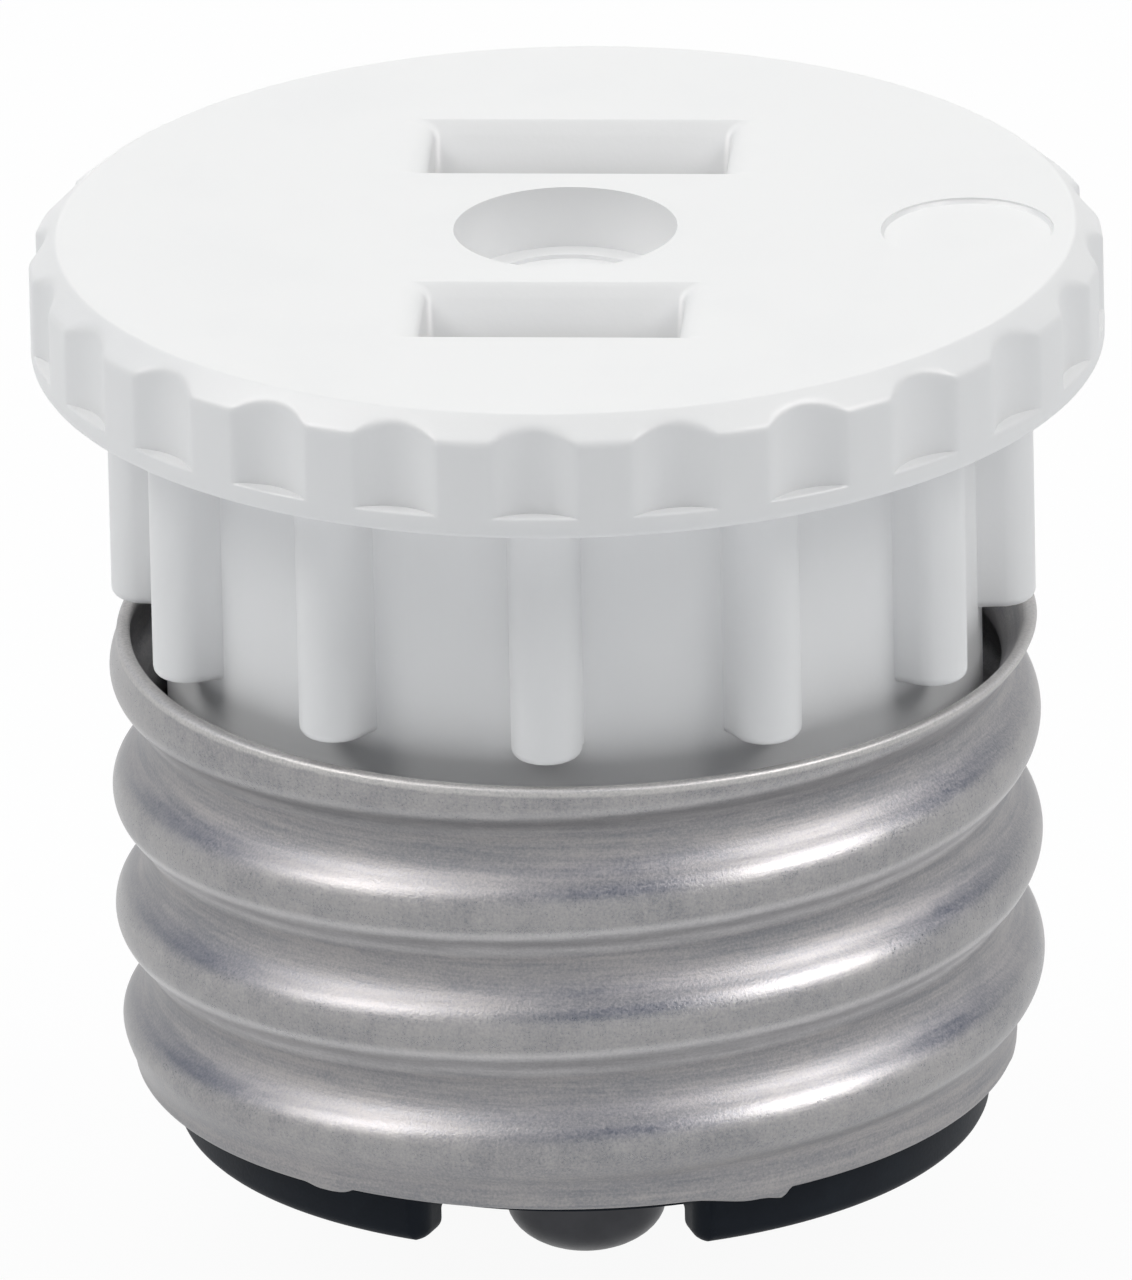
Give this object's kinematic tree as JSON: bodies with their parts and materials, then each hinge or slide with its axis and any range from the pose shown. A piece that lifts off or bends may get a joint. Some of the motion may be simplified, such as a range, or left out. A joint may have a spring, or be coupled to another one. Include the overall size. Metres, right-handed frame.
{
  "type": "lamp socket adapter",
  "caption": "Screw-in adapter that turns a lampholder into an outlet: threaded metal lamp base below a white ribbed body with a scalloped round flange and blade slots.",
  "frame": {"origin": "tip of the centre contact, on the axis of the screw shell", "axes": "+Z along the axis towards the outlet face, X along the slots, the short slot on the -Y side"},
  "size_m": [0.0302, 0.0302, 0.0309],
  "materials": {
    "white_moulding": "satin moulded",
    "shell_aluminium": "tumbled, dull",
    "black_moulding": "satin moulded",
    "plated_contact": "dull plated",
    "contact_brass": "rolled sheet",
    "screw_steel": "zinc plated"
  },
  "bodies": {
    "root": {"face_body": "white_moulding", "screw_shell": "shell_aluminium", "base_insulator": "black_moulding", "centre_contact": "plated_contact", "hot_contact": "contact_brass", "neutral_contact": "contact_brass", "base_screws": "screw_steel"}
  },
  "joints": []
}
